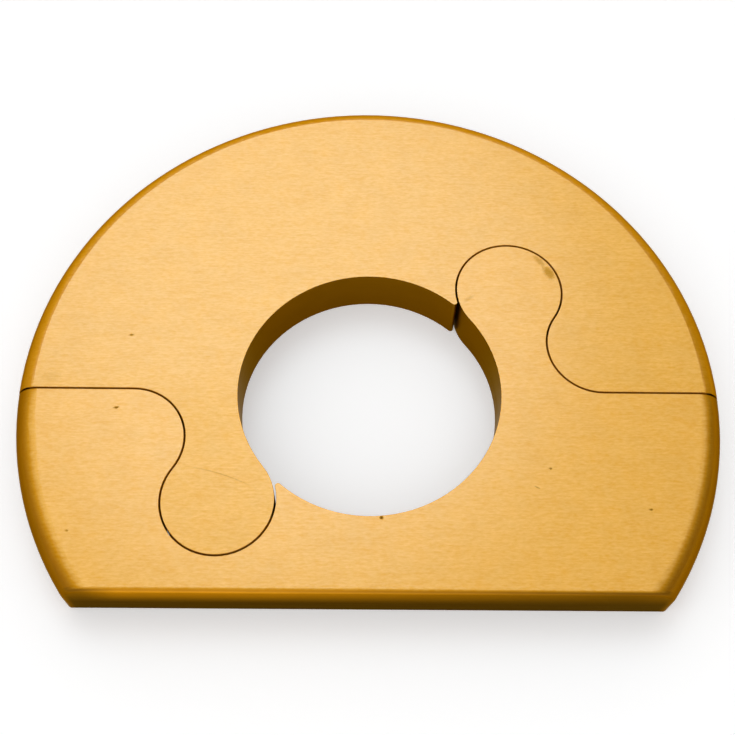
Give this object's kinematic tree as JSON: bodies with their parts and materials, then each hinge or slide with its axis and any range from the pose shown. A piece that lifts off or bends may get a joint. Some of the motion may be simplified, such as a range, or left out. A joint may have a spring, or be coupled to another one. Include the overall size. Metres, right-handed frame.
{
  "type": "pipe rosette",
  "caption": "Flat split rosette that covers the hole round a heating pipe: a disc with a central bore and a straight side, parted by jigsaw knobs so that it closes round a fitted pipe.",
  "frame": {"origin": "on the pipe's axis, in the plane of the underside", "axes": "+Z along the pipe, out of the floor or wall that the rosette lies on; +X along the parting line; the flat faces -Y"},
  "size_m": [0.06, 0.0475, 0.005],
  "materials": {
    "gold_anodised": "gold anodised, fine-brushed on the upper face, smooth on the rim, the bore and the flat"
  },
  "bodies": {
    "flat_half": {"flat_half": "gold_anodised"},
    "round_half": {"round_half": "gold_anodised"}
  },
  "joints": [
    {"name": "round_half_lift", "type": "slide", "parent": "flat_half", "child": "round_half", "axis": [0, 0, 1], "range_m": [0, 0.006]}
  ]
}
